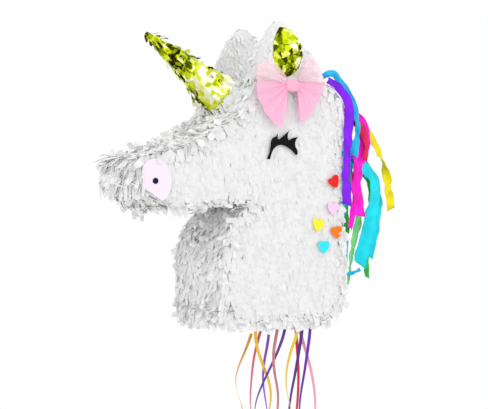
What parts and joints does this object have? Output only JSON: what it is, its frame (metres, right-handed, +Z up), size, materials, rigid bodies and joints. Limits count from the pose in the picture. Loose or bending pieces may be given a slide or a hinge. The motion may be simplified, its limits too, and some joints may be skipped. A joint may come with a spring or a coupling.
{
  "type": "pinata",
  "caption": "Hanging card pinata in the shape of a unicorn's head, covered in tissue fringe, with a ribbon-pulled trap door in its base and a fill flap in its side.",
  "frame": {"origin": "centre of the hanging eyelet's top rim, on the crown, in the head's middle plane", "axes": "+Z up along the eyelet, the head faces -X, its left side is -Y"},
  "size_m": [0.4789, 0.1704, 0.8549],
  "materials": {
    "card": "corrugated card",
    "white_tissue": "tissue paper cut in fringe",
    "gold_foil": "metallised foil",
    "black_felt": "felt",
    "lilac_felt": "felt",
    "navy_felt": "felt",
    "heart_felt": "felt in five colours",
    "pink_tulle": "tulle net",
    "paper_tape": "paper tape",
    "eyelet_brass": "rolled brass",
    "washer_plastic": "moulded",
    "red_ribbon": "curling ribbon",
    "mixed_crepe": "crepe paper",
    "coral_ribbon": "curling ribbon",
    "dusty_pink_ribbon": "curling ribbon",
    "gold_back_ribbon": "curling ribbon",
    "gold_front_ribbon": "curling ribbon",
    "lilac_ribbon": "curling ribbon",
    "pink_ribbon": "curling ribbon",
    "plum_ribbon": "curling ribbon",
    "purple_ribbon": "curling ribbon",
    "violet_ribbon": "curling ribbon",
    "yellow_ribbon": "curling ribbon",
    "blue_crepe": "crepe paper",
    "green_crepe": "crepe paper",
    "light_green_crepe": "crepe paper",
    "magenta_crepe": "crepe paper",
    "purple_crepe": "crepe paper",
    "teal_crepe": "crepe paper",
    "yellow_crepe": "crepe paper"
  },
  "bodies": {
    "carcass": {"base_fringe": "white_tissue", "base_panel": "card", "bow_knot": "pink_tulle", "bow_loops": "pink_tulle", "bow_tails": "pink_tulle", "bridge_band": "card", "bridge_fringe": "white_tissue", "chest_band": "card", "chest_fringe": "white_tissue", "crown_band": "card", "crown_fringe": "white_tissue", "eyelashes": "black_felt", "felt_hearts": "heart_felt", "hanger_plate": "card", "hanging_eyelet": "eyelet_brass", "horn_cone": "card", "horn_foil_wrap": "gold_foil", "jaw_band": "card", "left_ear_card": "card", "left_ear_fringe": "white_tissue", "left_ear_lining": "gold_foil", "left_side_fringe": "white_tissue", "left_side_panel": "card", "loose_streamers": "mixed_crepe", "mane_tape": "paper_tape", "muzzle_band": "card", "muzzle_fringe": "white_tissue", "nape_band": "card", "nape_fringe": "white_tissue", "nostril_dots": "navy_felt", "nostril_patches": "lilac_felt", "ribbon_coral": "coral_ribbon", "ribbon_dusty_pink": "dusty_pink_ribbon", "ribbon_gold_back": "gold_back_ribbon", "ribbon_gold_front": "gold_front_ribbon", "ribbon_lilac": "lilac_ribbon", "ribbon_pink": "pink_ribbon", "ribbon_plum": "plum_ribbon", "ribbon_purple": "purple_ribbon", "ribbon_violet": "violet_ribbon", "ribbon_yellow": "yellow_ribbon", "right_ear_card": "card", "right_ear_fringe": "white_tissue", "right_ear_lining": "gold_foil", "right_side_fringe": "white_tissue", "right_side_panel": "card", "streamer_blue": "blue_crepe", "streamer_green": "green_crepe", "streamer_light_green": "light_green_crepe", "streamer_magenta": "magenta_crepe", "streamer_purple": "purple_crepe", "streamer_teal": "teal_crepe", "streamer_yellow": "yellow_crepe"},
    "trap_door": {"trap_door": "card", "trap_door_fringe": "white_tissue", "release_washer": "washer_plastic", "release_knot": "red_ribbon"},
    "release_ribbon": {"release_ribbon": "red_ribbon"},
    "fill_flap": {"fill_flap": "card", "fill_flap_fringe": "white_tissue"}
  },
  "joints": [
    {"name": "trap_door_fold", "type": "hinge", "parent": "carcass", "child": "trap_door", "pos_m": [0.008, 0, -0.367], "axis": [0, 1, 0], "range_deg": [0, 90]},
    {"name": "release_ribbon_hang", "type": "hinge", "parent": "trap_door", "child": "release_ribbon", "pos_m": [0.076, -0.022, -0.377], "axis": [0, 1, 0], "range_deg": [-90, 0]},
    {"name": "fill_flap_fold", "type": "hinge", "parent": "carcass", "child": "fill_flap", "pos_m": [0.045, 0.07, -0.23], "axis": [1, 0, 0], "range_deg": [0, 90]}
  ],
  "couplings": [
    {"joint": "release_ribbon_hang", "follows": "trap_door_fold", "ratio": -1}
  ]
}
